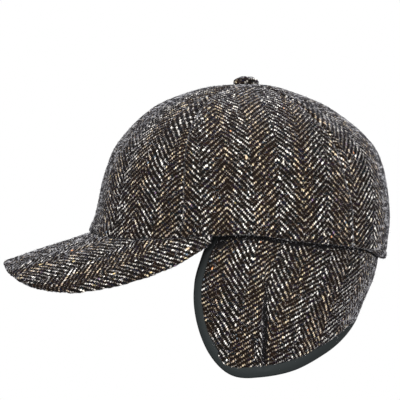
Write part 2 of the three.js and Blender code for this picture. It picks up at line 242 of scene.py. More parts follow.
def raise_weave(surface, yarns, relief):
    """Raises the twill lines of the herringbone on a grid of points, along its normals."""
    across, along = yarns[..., 0], yarns[..., 1]
    to_reversal = np.abs((across + COLUMN / 2) % COLUMN - COLUMN / 2)
    sunk, sunk_width = 0.6, 0.8  # the line of each reversal lies lower
    usual, uneven, uneven_length = 0.8, 0.35, 7
    twill = twill_line(across, along) * (usual + uneven * swell(yarns, uneven_length, seed=5))
    height = twill - sunk * np.exp(-(to_reversal / sunk_width) ** 2)
    return surface + normals_of(surface) * (relief * height / 2)[..., None]


def map_yarns(mesh, yarns):
    """Gives a mesh the cloth's coordinates of its vertices, in place of any map that it has."""
    for old_map in list(mesh.uv_layers):
        mesh.uv_layers.remove(old_map)
    corners = np.empty(len(mesh.loops), np.int32)
    mesh.loops.foreach_get("vertex_index", corners)
    cloth_map = mesh.uv_layers.new(name="Yarns")
    cloth_map.data.foreach_set("uv", yarns.reshape(-1, 2)[corners].astype(np.float32).ravel())


def sew(name, loops, yarns, finishes, lined_or_shaded, turned=False):
    """A closed piece from rows of points that run round it. Its two ends are filled."""
    rows, columns = loops.shape[:2]
    index = np.arange(rows * columns).reshape(rows, columns)
    after = np.roll(index, -1, axis=0)
    quads = np.stack([index[:, :-1], index[:, 1:], after[:, 1:], after[:, :-1]], -1)
    faces = quads.reshape(-1, 4).tolist() + [index[:, 0].tolist(), index[::-1, -1].tolist()]
    if turned:
        faces = [face[::-1] for face in faces]
    mesh = bpy.data.meshes.new(name)
    mesh.from_pydata(loops.reshape(-1, 3).tolist(), [], faces)
    mesh.shade_smooth()
    map_yarns(mesh, yarns)
    for finish in finishes:
        mesh.materials.append(finish)
    # Faces that take the second finish: the lining, and on the earflap the painted shade as well
    inside = np.broadcast_to(lined_or_shaded, (rows, columns - 1)).ravel()
    mesh.polygons.foreach_set("material_index", np.append(inside, [0, 0]).astype(np.int32))
    piece = bpy.data.objects.new(name, mesh)
    bpy.context.scene.collection.objects.link(piece)
    return piece


def node_in(tree, kind, *inputs, **settings):
    """A shader node with its settings and inputs. An input is a number, a colour or an output."""
    node = tree.nodes.new("ShaderNode" + kind)
    for setting, value in settings.items():
        setattr(node, setting, value)
    sockets = [socket for socket in node.inputs if socket.enabled or kind != "Mix"]
    for socket, value in zip(sockets, inputs):
        if isinstance(value, bpy.types.NodeSocket):
            tree.links.new(value, socket)
        elif value is not None:
            socket.default_value = value
    return node


def calc(tree, operation, *inputs):
    return node_in(tree, "Math", *inputs, operation=operation).outputs[0]


def ramp_up(tree, value, low, high):
    """0 below low, 1 above high and a soft step between them."""
    step = node_in(tree, "MapRange", value, low, high, 0.0, 1.0, interpolation_type="SMOOTHSTEP")
    return step.outputs[0]


def mix_colour(tree, share, first, second, blend_type="MIX"):
    node = node_in(tree, "Mix", share, first, second, data_type="RGBA", blend_type=blend_type)
    return next(socket for socket in node.outputs if socket.enabled)


def fine_noise(tree, place, scale, detail=2.0, roughness=0.6):
    return node_in(tree, "TexNoise", place, None, scale, detail, roughness, noise_dimensions="2D")


def new_finish(name, roughness, specular):
    """A material, its node tree and its surface shader."""
    material = bpy.data.materials.new(name)
    material.use_nodes = True
    tree = material.node_tree
    surface = tree.nodes["Principled BSDF"]
    surface.inputs["Roughness"].default_value = roughness
    surface.inputs["Specular IOR Level"].default_value = specular
    return material, tree, surface


def add_bump(tree, surface, height, distance, strength=1.0):
    bump = node_in(tree, "Bump")
    bump.inputs["Strength"].default_value = strength
    bump.inputs["Distance"].default_value = distance
    tree.links.new(height, bump.inputs["Height"])
    tree.links.new(bump.outputs[0], surface.inputs["Normal"])


def herringbone_group():
    """The tweed yarn by yarn: light warp floats over a dark weft, in twill lines that reverse."""
    tree = bpy.data.node_groups.new("Herringbone tweed", "ShaderNodeTree")
    tree.interface.new_socket("Yarns", in_out="INPUT", socket_type="NodeSocketVector")
    tree.interface.new_socket("Colour", in_out="OUTPUT", socket_type="NodeSocketColor")
    tree.interface.new_socket("Relief", in_out="OUTPUT", socket_type="NodeSocketFloat")
    laid = tree.nodes.new("NodeGroupInput").outputs["Yarns"]
    result = tree.nodes.new("NodeGroupOutput")

    def plus(first, second):
        return calc(tree, "ADD", first, second)

    def minus(first, second):
        return calc(tree, "SUBTRACT", first, second)

    def times(first, second):
        return calc(tree, "MULTIPLY", first, second)

    def moved(vector, operation, by):
        return node_in(tree, "VectorMath", vector, by, operation=operation).outputs[0]

    def chance(key):
        return node_in(tree, "TexWhiteNoise", key, noise_dimensions="2D")

    def roundness(place):
        """1 along the middle of each yarn and 0 along its sides."""
        aside = minus(times(calc(tree, "FRACT", place), 2.0), 1.0)
        return minus(1.0, times(aside, aside))

    def wool_colours(value, colours):
        """Picks one of a few colours by a value from 0 to 1."""
        ramp = node_in(tree, "ValToRGB", value)
        ramp.color_ramp.interpolation = "CONSTANT"
        for number, colour in enumerate(colours[1:], 1):
            ramp.color_ramp.elements.new(number / len(colours)).color = colour
        ramp.color_ramp.elements.remove(ramp.color_ramp.elements[-1])
        ramp.color_ramp.elements[0].color = colours[0]
        return ramp.outputs[0]

    # Hand-spun yarns never lie quite straight
    waver = moved(fine_noise(tree, laid, 0.3).outputs[1], "SUBTRACT", (0.5, 0.5, 0.5))
    yarns = moved(laid, "ADD", moved(waver, "MULTIPLY", WAVER))
    place = node_in(tree, "SeparateXYZ", yarns)
    across, along = place.outputs[0], place.outputs[1]

    # The weave: each warp yarn passes over two picks and under two, one pick later than its neighbour
    warp = calc(tree, "FLOOR", across)
    warp_chance = node_in(tree, "TexWhiteNoise", None, warp, noise_dimensions="1D").outputs[0]
    climb = minus(along, calc(tree, "PINGPONG", warp, COLUMN))
    climb = plus(climb, times(warp_chance, 0.2))
    float_number = calc(tree, "FLOOR", calc(tree, "DIVIDE", climb, WALE))
    rising = calc(tree, "LESS_THAN", calc(tree, "FLOORED_MODULO", across, 2 * COLUMN), COLUMN)

    # Each float has its own strength and place, and twill lines have bright and dim stretches
    float_chance = chance(node_in(tree, "CombineXYZ", warp, float_number).outputs[0])
    float_part = node_in(tree, "SeparateColor", float_chance.outputs[1])
    out_of_line = times(minus(float_part.outputs[2], 0.5), 0.7)
    arch = calc(tree, "SINE", times(plus(climb, out_of_line), 2 * math.pi / WALE))
    dash_rate = plus(0.34, times(rising, 0.1))
    dash_place = node_in(tree, "CombineXYZ", times(float_number, 5.3), times(across, dash_rate)).outputs[0]
    dashes = fine_noise(tree, dash_place, 1.0, 1.0).outputs[0]
    marl = fine_noise(tree, laid, 0.16, 1.0).outputs[0]
    strength = plus(times(dashes, 0.9), times(marl, 0.35))
    strength = plus(strength, times(float_chance.outputs[0], 0.32))
    strength = ramp_up(tree, strength, 0.56, 1.2)
    strength = times(strength, plus(0.28, times(strength, 0.9)))
    thinness = minus(0.78, times(strength, 0.34))
    over = ramp_up(tree, arch, minus(thinness, 0.2), plus(thinness, 0.2))

    # Slubs: a few thick spots of odd wool spun into the yarn
    slub_place = moved(yarns, "MULTIPLY", (0.075, 0.042, 0.0))
    slub = node_in(tree, "TexVoronoi", slub_place, None, 1.0, voronoi_dimensions="2D", feature="F1")
    slub_hue = node_in(tree, "SeparateColor", slub.outputs["Color"])
    slub_size = times(minus(slub_hue.outputs[1], 0.55), 0.15)
    has_slub = ramp_up(tree, minus(slub_size, slub.outputs["Distance"]), 0.0, 0.02)
    slub_colour = wool_colours(slub_hue.outputs[0], SLUBS)

    # The warp's colours: off-white with stripes in which most floats are tan, and a few odd ones
    stripe_place = calc(tree, "FLOORED_MODULO", minus(warp, 1.0), STRIPE)
    stripe = calc(tree, "LESS_THAN", stripe_place, STRIPE / 2)
    zone = fine_noise(tree, laid, 0.035, 1.0).outputs[0]
    ochre = plus(times(zone, 0.9), times(stripe, 0.5))
    ochre = plus(ochre, times(warp_chance, 0.16))
    ochre = plus(ochre, times(float_part.outputs[0], 0.62))
    ochre = ramp_up(tree, ochre, 1.05, 1.5)
    tan = mix_colour(tree, float_part.outputs[1], *TANS)
    light = mix_colour(tree, ochre, OFF_WHITE, tan)
    odd_colour = wool_colours(float_part.outputs[0], ODD_WARPS)
    is_odd = calc(tree, "GREATER_THAN", float_part.outputs[1], 1 - ODD_FLOATS)
    light = mix_colour(tree, is_odd, light, odd_colour)
    warp_colour = mix_colour(tree, strength, SUNK_WARP, light)

    # The dark weft: near-black browns with some navy, plum, teal and rust picks
    pair_of_warps = calc(tree, "FLOOR", times(across, 0.5))
    pick_chance = chance(node_in(tree, "CombineXYZ", calc(tree, "FLOOR", along), pair_of_warps).outputs[0])
    pick_part = node_in(tree, "SeparateColor", pick_chance.outputs[1])
    dyed = wool_colours(pick_part.outputs[0], DYED_WEFTS)
    weft = mix_colour(tree, pick_chance.outputs[0], *BROWN_WEFTS)
    weft = mix_colour(tree, times(stripe, 0.5), weft, STRIPE_WEFT)
    weft = mix_colour(tree, ramp_up(tree, pick_part.outputs[1], 0.62, 1.0), weft, dyed)
    colour = mix_colour(tree, over, weft, warp_colour)
    colour = mix_colour(tree, has_slub, colour, slub_colour)

    # The relief: round yarns, with painted shade that darkens the crevices between them
    warp_height = times(roundness(across), plus(0.55, times(arch, 0.45)))
    weft_height = times(roundness(along), 0.35)
    yarn_height = node_in(tree, "Mix", over, weft_height, warp_height).outputs[0]
    hairs = fine_noise(tree, yarns, 2.6, 3.0).outputs[0]
    relief = plus(yarn_height, times(hairs, 0.4))
    relief = plus(relief, times(has_slub, 0.5))
    # Painted shade: the lower the relief, the darker the colour
    shade = mix_colour(tree, ramp_up(tree, relief, 0.25, 0.9), CREVICE_SHADE, WHITE)
    colour = mix_colour(tree, 1.0, colour, shade, "MULTIPLY")
    tree.links.new(colour, result.inputs["Colour"])
    tree.links.new(relief, result.inputs["Relief"])
    return tree


tweed, tweed_tree, tweed_surface = new_finish("Tweed", roughness=0.9, specular=0.06)
tweed_surface.inputs["Sheen Weight"].default_value = 0.07
tweed_surface.inputs["Sheen Roughness"].default_value = 0.33
tweed_surface.inputs["Sheen Tint"].default_value = SHEEN_TINT
tweed_map = node_in(tweed_tree, "UVMap", uv_map="Yarns").outputs[0]
weave = tweed_tree.nodes.new("ShaderNodeGroup")
weave.node_tree = herringbone_group()
tweed_tree.links.new(tweed_map, weave.inputs["Yarns"])
add_bump(tweed_tree, tweed_surface, weave.outputs["Relief"], distance=0.5 * MM, strength=0.9)

# Seen along the cloth, a speckled grey veil is mixed into its colour: partly tufts of its loose hairs seen
# edge-on, partly painted sheen for the light that they catch
combed = []
for lie in TUFTS_LIE:
    place = node_in(tweed_tree, "VectorMath", tweed_map, lie, operation="MULTIPLY").outputs[0]
    combed.append(fine_noise(tweed_tree, place, 1.0, roughness=0.65).outputs[0])
tufts = ramp_up(tweed_tree, calc(tweed_tree, "MAXIMUM", *combed), 0.56, 0.67)
hair_haze_and_sheen = mix_colour(tweed_tree, tufts, *HAIR_HAZE_AND_SHEEN)
# Painted sheen: the grey veil grows as the cloth turns edge-on to the view
facing = node_in(tweed_tree, "LayerWeight", 0.5).outputs["Facing"]
edge_on = calc(tweed_tree, "MULTIPLY", ramp_up(tweed_tree, facing, *HAIR_HAZE_AND_SHEEN_FACING), HAIR_HAZE_AND_SHEEN_MOST)
with_hair_haze_and_sheen = mix_colour(tweed_tree, edge_on, weave.outputs["Colour"], hair_haze_and_sheen)
tweed_tree.links.new(with_hair_haze_and_sheen, tweed_surface.inputs["Base Color"])

# Lining cloth, which is also laid on the earflap's outside as painted shade
lining_and_painted_shade, inside_tree, inside_surface = new_finish("Lining and painted shade", roughness=0.9, specular=0.08)
inside_map = node_in(inside_tree, "UVMap", uv_map="Yarns").outputs[0]
inside_threads = fine_noise(inside_tree, inside_map, 1.6).outputs[0]
inside_shade = mix_colour(inside_tree, inside_threads, *LINING_AND_SHADE_BLACKS)
inside_tree.links.new(inside_shade, inside_surface.inputs["Base Color"])
add_bump(inside_tree, inside_surface, inside_threads, distance=0.2 * MM)


def gore(seam_from, seam_to, first_yarn):
    """One crown panel of the left side, as rows of points round its cloth, and its yarns."""
    azimuth_at_hem = [seam_from(0.0), seam_to(0.0)]
    middle = sum(azimuth_at_hem) / 2
    tip_level = len(BODY) - 1 - TIP_RADIUS / BODY[-2, 2]
    samples = 800
    levels = np.linspace(0, tip_level, samples)
    meridian = run_along(body_point(np.full(samples, middle), levels))
    meridian -= np.interp(row_where(BODY, 0.0), levels, meridian)
    width = length_of(body_steps(middle, row_where(BODY, 0.0))[0]) * (azimuth_at_hem[1] - azimuth_at_hem[0])
    share = np.linspace(0, 1, round(WIDENS * width / FINE) + 1)[None, :]
    hem = hem_height(azimuth_at_hem[0] + share * (azimuth_at_hem[1] - azimuth_at_hem[0]))

    # Down the inside from the tip to the turned-up hem, round the hem, and up the outside to the tip
    roll = smooth(HEM_ROLL, evenly_along(HEM_ROLL, FINE))
    roll_levels = row_where(BODY, hem + roll[:, :1])
    tip_run = meridian[-1]
    start_run = np.interp(roll_levels[-1:], levels, meridian)

    def up_to_tip(step):
        shares = np.linspace(0, 1, round((tip_run - start_run.mean()) / step) + 1)[1:, None]
        return start_run + shares * (tip_run - start_run)

    outer_run = up_to_tip(FINE)
    inner_run = up_to_tip(COARSE)[::-1]
    inner_levels = np.vstack([np.interp(inner_run, meridian, levels), roll_levels[:1]])
    outer_levels = np.interp(outer_run, meridian, levels)
    level = np.vstack([inner_levels, roll_levels, outer_levels])
    depth = np.concatenate([np.full(len(inner_levels), CLOTH), roll[:, 1], np.zeros(len(outer_levels))])
    depth = depth[:, None]
    face = np.arange(len(level)) >= len(inner_levels)
    hem_run = -(run_along(roll)[-1] - run_along(roll))[:, None] + start_run
    run = np.vstack([np.interp(inner_levels, levels, meridian), hem_run, outer_run])

    height = smooth(BODY, level)[..., 0]
    start, end = seam_from(height), seam_to(height)
    per_degree = length_of(body_steps((start + end) / 2, level)[0])
    clear = SEAM_CLEAR / per_degree
    azimuth = start + clear + share * (end - start - 2 * clear)
    to_seam = np.minimum(azimuth - start, end - azimuth) * per_degree
    valley = SEAM_DEPTH * np.exp(-(to_seam / SEAM_WIDTH) ** 2) * face[:, None]
    for around, up, spread, spread_up, hollow in HOLLOWS:
        beside, above = (azimuth - around) / spread, (height - up) / spread_up
        depth = depth + hollow * np.exp(-beside ** 2 - above ** 2)
    crease = MM * np.interp(azimuth, *LIP_CREASE.T)
    depth = depth + crease * np.exp(-((height - LIP_Z) / LIP_CREASE_WIDTH) ** 2) * face[:, None]
    cloth = body_point(azimuth, level)
    depth = depth + valley - SWELL * swell(cloth, SWELL_LENGTH, seed=3) * face[:, None]
    surface = set_in(azimuth, level, depth)

    # The width from the middle to each point, measured in five places on the way
    steps = [length_of(body_steps(middle + part * (azimuth - middle), level)[0])
             for part in (0.1, 0.3, 0.5, 0.7, 0.9)]
    from_middle = (azimuth - middle) * sum(steps) / len(steps)
    yarns = hand_woven(np.stack([from_middle / YARN + first_yarn, run / YARN], -1), seed=11)
    surface[face] = raise_weave(surface, yarns, RELIEF)[face]
    return surface, yarns, face


def seam_at(column):
    """The way of one of the side gore's seams: its azimuth at each height."""
    table = SEAMS[:, [0, column]]

    def azimuth_at(height):
        return smooth(table, row_where(table, np.asarray(height) / MM))[..., 1]
    return azimuth_at


def middle_seam(azimuth):
    """The way of a seam that runs straight up the middle of the front or the back."""
    def azimuth_at(height):
        return azimuth + 0.0 * height
    return azimuth_at


# Each gore's seams, first yarn, and the width, length and area that it is cut to with its turned-up hem
GORES = {
    "front": (middle_seam(0.0), seam_at(1), 35.0 + 4 * COLUMN, (0.108, 0.183), 0.0115),
    "side": (seam_at(1), seam_at(2), 16.5, (0.128, 0.178), 0.0142),
    "back": (seam_at(2), middle_seam(180.0), 29.3 + 2 * COLUMN, (0.071, 0.197), 0.0090),
}
NEXT_CUT = np.array([40 * COLUMN, 5 * WALE])  # yarns to the place of the cloth that the next one is cut from
faces_of_tweed = []  # each with 1, or with -1 where it is mirrored
for number, (place, (seam_from, seam_to, first_yarn, cut, cut_area)) in enumerate(GORES.items()):
    for side, turn in (("left", 1), ("right", -1)):
        surface, yarns, face = gore(seam_from, seam_to, first_yarn)
        surface = surface * (1, turn, 1)
        yarns = yarns + (2 * number + (turn < 0)) * NEXT_CUT
        panel = sew(f"{place}_gore_{side}", surface, yarns, [tweed, lining_and_painted_shade], ~face[:, None], turn < 0)
        faces_of_tweed.append((surface[face], turn))
        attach(panel, "root")
        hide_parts(f"crown_{place}_{side}")

# Top button: a domed disc covered with a scrap of the tweed, which is gathered in under its rim. It is
# sewn down through the tips of the gores.
BUTTON_SEAT = 111.6 * MM
# Its profile from the axis under the gores to the top: radius, height above the seat
BUTTON_PROFILE = MM * np.array([
    (0, -4), (2.8, -4), (2.8, -1.6), (5.4, -1.7), (8, -1.8), (8.8, -1.5), (9, -0.6), (8.8, 0.6), (8.2, 1.8),
    (7.1, 2.9), (5.3, 3.8), (3.1, 4.4), (1.3, 4.6), (0, 4.65),
])
BUTTON_STEP = 0.45 * MM
BUTTON_SIDES = 96
BUTTON_MERGE = 0.02 * MM
BUTTON_POLE = 0.3 * MM  # yarns draw together no nearer to its axis than this
BUTTON_STRETCH = 1.5  # how far apart its yarns are drawn
BUTTON_FIRST_YARN = (45.0, 6.0)
BUTTON_RELIEF = 0.22 * MM
BUTTON_TOP = -0.3 * MM  # the relief grows from here up, over a millimetre
GATHERS = 14
GATHER_HEIGHT = 0.25 * MM
GATHERS_FROM, GATHERS_FULL = 6.525 * MM, 8.7 * MM  # from the button's axis

bpy.ops.object.select_all(action="DESELECT")
bpy.ops.mesh.primitive_circle_add(vertices=12, radius=MM)
button = bpy.context.object
button.name = "covered_button"
profile = smooth(BUTTON_PROFILE, evenly_along(BUTTON_PROFILE, BUTTON_STEP))
button.data.clear_geometry()
button.data.from_pydata([(radius, 0, height) for radius, height in profile],
                        [(i, i + 1) for i in range(len(profile) - 1)], [])
bpy.ops.object.mode_set(mode="EDIT")
bpy.ops.mesh.select_all(action="SELECT")
bpy.ops.mesh.spin(steps=BUTTON_SIDES, angle=2 * math.pi, center=(0, 0, 0), axis=(0, 0, 1))
bpy.ops.mesh.select_all(action="SELECT")
bpy.ops.mesh.remove_doubles(threshold=BUTTON_MERGE)
bpy.ops.mesh.normals_make_consistent(inside=False)
bpy.ops.object.mode_set(mode="OBJECT")
points = np.array([corner.co for corner in button.data.vertices])
reach = length_of(points[:, :2])
turn = np.arctan2(points[:, 1], points[:, 0])
nearest = np.argmin(np.hypot(reach[:, None] - profile[:, 0], points[:, 2:] - profile[:, 1]), axis=1)
from_top = (run_along(profile)[-1] - run_along(profile))[nearest]
laid_out = points[:, :2] * (from_top / np.maximum(reach, BUTTON_POLE))[:, None]
button_yarns = laid_out / (BUTTON_STRETCH * YARN) + BUTTON_FIRST_YARN
gathered = np.clip((reach - GATHERS_FROM) / (GATHERS_FULL - GATHERS_FROM), 0, 1)
raised = BUTTON_RELIEF * twill_line(*button_yarns.T) + GATHER_HEIGHT * np.sin(GATHERS * turn) * gathered
raised *= np.clip((points[:, 2] - BUTTON_TOP) / MM, 0, 1)
points += np.array([corner.normal for corner in button.data.vertices]) * raised[:, None]
points += (BUTTON_AXIS_X, 0, BUTTON_SEAT)
button.data.vertices.foreach_set("co", points.ravel())
button.data.shade_smooth()
map_yarns(button.data, button_yarns)
button.data.materials.append(tweed)
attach(button, "root")
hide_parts("top_button")

# Peak: a stiff curved board wrapped above, below and round its rim in one layer of the tweed, with the
# grain from back to front. Its back edge is sewn in under the hem.
PEAK_THICKNESS = 4.5 * MM
PEAK_END_THICKNESS = 2.4 * MM
PEAK_BELOW_HEM = 0.35 * MM
# Its root turns up inside the hem: depth from the body and height above the hem's edge, round from the
# underside to the upper face
PEAK_ROOT = MM * np.array([(5.6, -2.4), (6.2, 0.5), (6.0, 4.0), (4.5, 4.0), (4.3, 0.4), (3.8, -0.3)])
PEAK_THINS_FROM = 0.6  # of the way from its middle to each end
PEAK_SWELL, PEAK_SWELL_LENGTH = 0.25 * MM, 40 * MM
PEAK_LUMPS, PEAK_LUMP_LENGTH = 0.28 * MM, 8 * MM
ROOT_EASE = 3 * MM  # the spare cloth at each fold of its root
PEAK_FIRST_YARN = (40 * COLUMN - 6.6, 800.0)
PEAK_FINE = 0.76 * MM
PEAK_ROWS = 80
PEAK_ROWS_ROUND_RIM = 9
PEAK_ROWS_BELOW = 42
# The rim of the upper face from the middle to the left end: the seat's azimuth and its depth from the
# body, then the rim's x, y and z
PEAK_RIM = np.array([
    (0, 1.6, -167.2, 0, -15),
    (14, 1.6, -163.8, 27.5, -19.6),
    (24, 1.6, -155.3, 45, -25.6),
    (34, 1.5, -142, 59.5, -31.2),
    (44, 1.3, -119.5, 71, -34.1),
    (51, 0.9, -102.5, 77, -32.3),
    (57, 0.7, -85, 81.5, -29),
    (62.5, 0.6, -68.5, 84, -24.4),
    (67, 0.5, -53, 85, -19.2),
    (71, 0.5, -39.5, 85, -13.3),
    (74.5, 0.5, -27, 83, -6.4),
    (77, 0.5, -20.7, 82, -0.8),
])
peak_rim = np.vstack([PEAK_RIM[:0:-1] * (-1, 1, 1, -1, 1), PEAK_RIM])


def peak_face(column, out):
    """The upper face, made of straight lines from the seat under the hem to the rim."""
    seat_azimuth, seat_depth, x, y, z = np.moveaxis(smooth(peak_rim, column), -1, 0)
    hem = hem_height(np.abs(seat_azimuth))
    seat = set_in(-seat_azimuth, row_where(BODY, hem), seat_depth * MM)
    seat[..., 2] = hem - PEAK_BELOW_HEM
    return seat + (MM * np.stack([x, y, z], -1) - seat) * np.asarray(out)[..., None]


def lay_flat(inner, outer):
    """Two edges of a face made of straight lines, laid flat from its first line on."""
    flat_inner, flat_outer = [np.zeros(2)], [np.array([0, length_of(outer[0] - inner[0])])]

    def third_corner(a, b, from_a, from_b):
        base = b - a
        length = np.linalg.norm(base)
        along = (from_a**2 - from_b**2 + length**2) / (2 * length)
        aside = math.sqrt(max(from_a**2 - along**2, 0))
        return a + base * along / length + np.array([base[1], -base[0]]) * aside / length

    for i in range(1, len(inner)):
        last_inner, last_outer = flat_inner[-1], flat_outer[-1]
        flat_outer.append(third_corner(last_inner, last_outer, length_of(outer[i] - inner[i - 1]),
                                       length_of(outer[i] - outer[i - 1])))
        flat_inner.append(third_corner(last_inner, flat_outer[-1], length_of(inner[i] - inner[i - 1]),
                                       length_of(outer[i] - inner[i])))
    return np.array(flat_inner), np.array(flat_outer)


def soft_step(value):
    value = np.clip(value, 0, 1)
    return value**2 * (3 - 2 * value)


rim_columns = evenly_along(MM * peak_rim[:, 2:], PEAK_FINE)[None, :]
last_column = len(peak_rim) - 1
to_end = np.abs(rim_columns / last_column - 0.5) * 2
thin = soft_step((to_end - PEAK_THINS_FROM) / (1 - PEAK_THINS_FROM))
half_board = (PEAK_THICKNESS + (PEAK_END_THICKNESS - PEAK_THICKNESS) * thin) / 2
seats, rims = (peak_face(rim_columns[0], np.full(rim_columns.size, end)) for end in (0.0, 1.0))
reach = length_of(rims - seats)
edge = 1 - half_board / reach

# Rows from the seat to the rim, round it and back below, with the turn round the rim from the upper face
upper = np.linspace(0, 1, PEAK_ROWS)[:, None] * edge
under = np.linspace(1, 0, PEAK_ROWS_BELOW)[:, None] * edge
bend = np.linspace(0, np.pi, PEAK_ROWS_ROUND_RIM + 2)[1:-1, None]
out = np.vstack([upper, edge + 0 * bend, under])
turn = np.vstack([np.zeros((PEAK_ROWS, 1)), bend, np.full((PEAK_ROWS_BELOW, 1), np.pi)])
step = 0.01
column = rim_columns + 0 * out
along = peak_face(column + step, out) - peak_face(column - step, out)
outward = peak_face(column, out + step) - peak_face(column, out - step)
up = np.cross(along, outward)
up /= length_of(up)[..., None]
outward /= length_of(outward)[..., None]
middle = peak_face(column, out) - up * half_board[..., None]
from_middle = outward * np.sin(turn)[..., None] + up * np.cos(turn)[..., None]
swollen = PEAK_SWELL * swell(middle, PEAK_SWELL_LENGTH, seed=21)
surface = middle + from_middle * half_board[..., None] + up * swollen[..., None]
from_middle = (surface - middle) / half_board[..., None]
lumps = PEAK_LUMPS * swell(middle, PEAK_LUMP_LENGTH, seed=22)
surface = surface + from_middle * lumps[..., None]

# The root's rows close the piece behind the upper face
seat_azimuth = smooth(peak_rim, rim_columns[0])[:, 0]
root_hem = hem_height(np.abs(seat_azimuth))
root = np.stack([set_in(-seat_azimuth, row_where(BODY, root_hem + above), depth + 0 * root_hem)
                 for depth, above in PEAK_ROOT])
root[..., 2] = root_hem + PEAK_ROOT[:, 1:]
surface = np.vstack([root, surface])

# The cloth's coordinates, from the upper face laid flat. The cloth below lies as the cloth above does.
half = rim_columns[0] >= last_column / 2
flat_seat, flat_rim = lay_flat(seats[half], rims[half])
other_half = slice(None, 0 if rim_columns.size % 2 else None, -1)
flat_seat = np.vstack([flat_seat[other_half] * (-1, 1), flat_seat])
flat_rim = np.vstack([flat_rim[other_half] * (-1, 1), flat_rim])
root_steps = np.append(0, length_of(np.diff(PEAK_ROOT[::-1], axis=0))) + ROOT_EASE
root_run = np.cumsum(root_steps)[::-1, None]
round_rim = half_board / reach * np.minimum(turn, np.pi - turn)
laid = np.vstack([-root_run / reach, out + round_rim])
peak_yarns = (flat_seat + (flat_rim - flat_seat) * laid[..., None]) * (-1, -1) / YARN
peak_yarns = hand_woven(peak_yarns + PEAK_FIRST_YARN, seed=31)
raised = np.vstack([np.zeros_like(root[..., 0]), np.clip(np.pi - turn, 0, 1) + 0 * out])
surface = raise_weave(surface, peak_yarns, RELIEF * raised)
peak = sew("peak_wrapped", surface, peak_yarns, [tweed], False)
faces_of_tweed.append((surface, 1))
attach(peak, "root")
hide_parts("peak")

# Peak ends: at each temple the tweed that wraps the peak is folded in and tucked up under the hem, which
# leaves a small soft knot.
# Its middle line: azimuth, height, distance out from the body, and the knot's half width, in millimetres
KNOT = np.array([
    (78.6, 6.2, -2.6, 0.9), (77.3, 5.2, -0.4, 1.7), (76, 3, 0.5, 2.2), (76.1, 0.6, 0.3, 2.1),
    (77, -1.6, -0.9, 1.4),
])
KNOT_SIDES = 28
KNOT_RINGS = 22
KNOT_FIRST_YARN = (48.0, 3.0)
KNOT_YARNS = (2.4, 4.5)  # from its middle to its sides and to its ends
PLEAT_DEPTH, PLEAT_PLACE, PLEAT_WIDTH = 0.22, 0.25, 0.2  # as parts of its half width

for side, turn in (("left", 1), ("right", -1)):
    bpy.ops.mesh.primitive_uv_sphere_add(segments=KNOT_SIDES, ring_count=KNOT_RINGS, radius=1)
    knot = bpy.context.object
    knot.name = f"peak_end_{side}"
    ball = np.array([corner.co for corner in knot.data.vertices])
    rows = (ball[:, 2] + 1) / 2 * (len(KNOT) - 1)
    azimuth, height, out, half = np.moveaxis(smooth(KNOT, rows), -1, 0)
    pleat = np.exp(-((ball[:, 0] - PLEAT_PLACE) / PLEAT_WIDTH) ** 2) * (ball[:, 1] < 0)
    half_width = MM * (half * (1 - PLEAT_DEPTH * pleat))[:, None]
    level = row_where(BODY, MM * height)
    round_it, up_it = body_steps(azimuth, level)
    round_it /= length_of(round_it)[:, None]
    out_of_it = np.cross(round_it, up_it)
    out_of_it /= length_of(out_of_it)[:, None]
    points = set_in(azimuth, level, -MM * out)
    points += half_width * (ball[:, :1] * round_it - ball[:, 1:2] * out_of_it)
    knot.data.vertices.foreach_set("co", (points * (1, turn, 1)).ravel())
    map_yarns(knot.data, ball[:, [0, 2]] * KNOT_YARNS + KNOT_FIRST_YARN)
    bpy.ops.object.mode_set(mode="EDIT")
    bpy.ops.mesh.select_all(action="SELECT")
    bpy.ops.mesh.normals_make_consistent(inside=False)
    bpy.ops.object.mode_set(mode="OBJECT")
    knot.data.shade_smooth()
    knot.data.materials.append(tweed)
    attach(knot, "root")

# Earflap: one band of tweed and its lining cloth that hangs from inside the hem, from one temple round
# the nape to the other. It is cut on the grain at the nape and has a dart under each ear.
FLAP_CLOTH = 2.6 * MM
FLAP_TUCK = 8 * MM
FLAP_BEHIND_HEM = 0.6 * MM
# It draws in below the hem, most of all before the ear, and its root is covered with the dark lining cloth
# as painted shade: azimuth, then depth, height below the hem and the painted shade's height below the hem in
# millimetres
SLOT = np.array([
    (76, 9, 13, 14), (79, 8.5, 11, 9), (82, 7.5, 6.5, 5.4), (86, 6.5, 4.6, 4.2), (100, 5.5, 4.4, 3.9),
    (110, 4.2, 4.4, 3.7), (122, 3.6, 4.4, 3.6), (138, 3.2, 4.2, 3.3), (150, 2.0, 3.4, 2.1),
    (160, 0.6, 3, 0.8), (180, 0.2, 3, 0.3),
])
DART_X = 18 * MM
DART_TOP_Z = -28 * MM
DART_FOOT_Z = -91 * MM
DART_FADES, FOOT_FADES, TUCK_FADES = 26 * MM, 8 * MM, 14 * MM  # over these heights
DART_DEPTH = 4.6 * MM
DART_WIDTH = 1.5 * MM
DART_HOLLOW = 1.3 * MM
DART_HOLLOW_WIDTH = 5 * MM
DART_SHADE_EDGES = (-2.1 * MM, 1.3 * MM)  # from where to where its sides are darkened with the lining cloth as painted shade
# A tuck beside its lower half: height, distance in front of the dart
TUCK = MM * np.array([(-92, 3.6), (-86, 4.6), (-76, 7.0), (-66, 9.2), (-54, 10.5)])
TUCK_DEPTH = 1.7 * MM
TUCK_WIDTH = 1.2 * MM
TUCK_SHADE_LINE = 0.45 * MM  # half the width of the painted shade along it
DART_SIDE = 3.6 * MM  # how much longer the cloth is down one side of the dart than straight across
TAPE = 0.8 * MM
FOLD_GAP = 0.15 * MM
PRESSED = 0.9 * MM  # how far the binding's seam presses the tweed in beneath the tape
PRESSED_BEYOND, PRESSED_OVER = 1.2 * MM, 1.8 * MM  # how far past the tape, and the width of the slope
